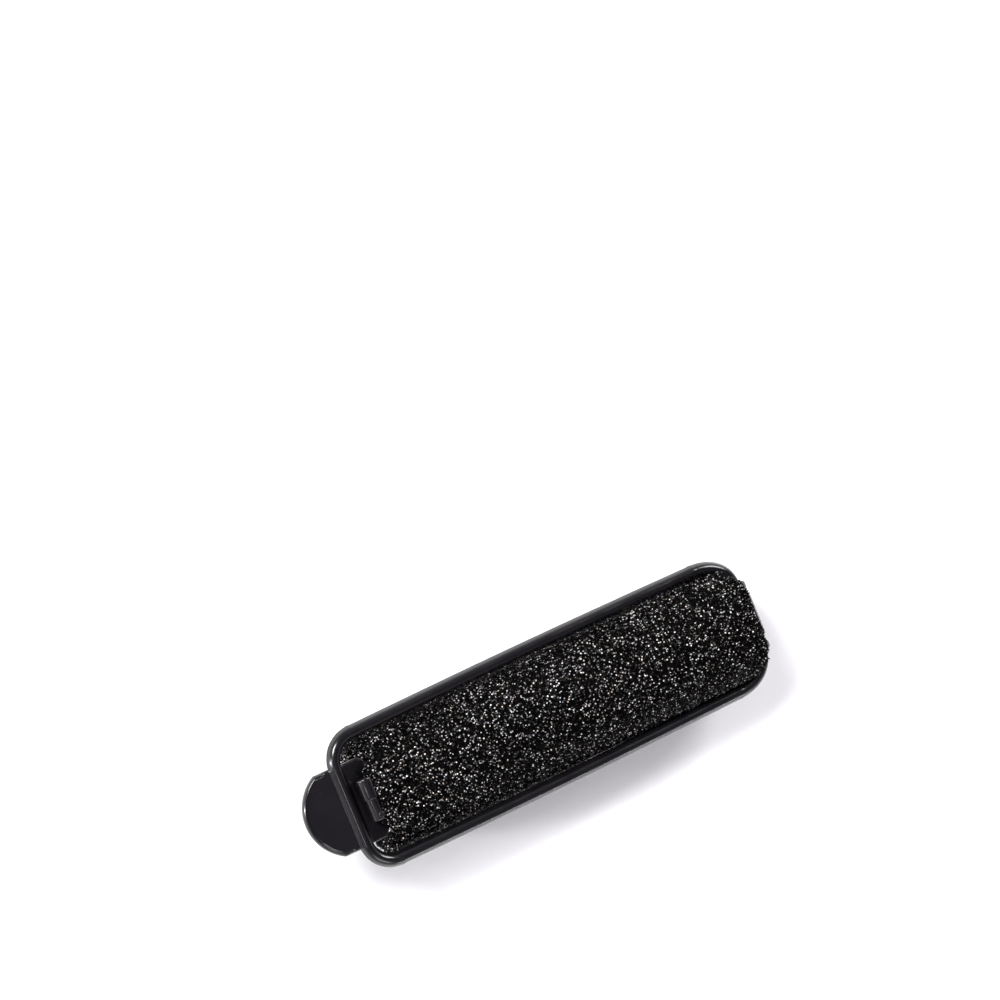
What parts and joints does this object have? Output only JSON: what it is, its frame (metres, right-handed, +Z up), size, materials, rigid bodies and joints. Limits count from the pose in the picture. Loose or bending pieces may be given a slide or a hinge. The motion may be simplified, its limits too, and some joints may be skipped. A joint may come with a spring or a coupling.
{
  "type": "foam hair roller",
  "caption": "Foam hair roller: a black open-cell foam cylinder on a moulded plastic core, held by a hinged rod-frame clip that snaps shut with a thumb tab.",
  "frame": {"origin": "middle of the flat on the foam's underside, the face the closed roller rests on", "axes": "+X along the foam towards the hinge, +Y across the roller along the hinge axis, +Z up towards the clip side"},
  "size_m": [0.0776, 0.0212, 0.0167],
  "materials": {
    "foam": "open-cell polyurethane foam, brownish black, with glinting cell walls",
    "core_plastic": "moulded black plastic, satin",
    "clip_plastic": "moulded black plastic, semi-gloss, fine parting line"
  },
  "bodies": {
    "core": {"foam_sleeve": "foam", "core_spine": "core_plastic", "hinge_socket": "core_plastic", "hinge_back_plate": "core_plastic", "catch_hook": "core_plastic"},
    "clip": {"hinge_bar": "clip_plastic", "leg_left": "clip_plastic", "leg_right": "clip_plastic", "latch_bar": "clip_plastic", "latch_plate": "clip_plastic", "thumb_tab": "clip_plastic"}
  },
  "joints": [
    {"name": "clip_hinge", "type": "hinge", "parent": "core", "child": "clip", "pos_m": [0.03325, 0, 0.00932], "axis": [0, 1, 0], "range_deg": [0, 180], "deforming": ["catch_hook"]}
  ]
}
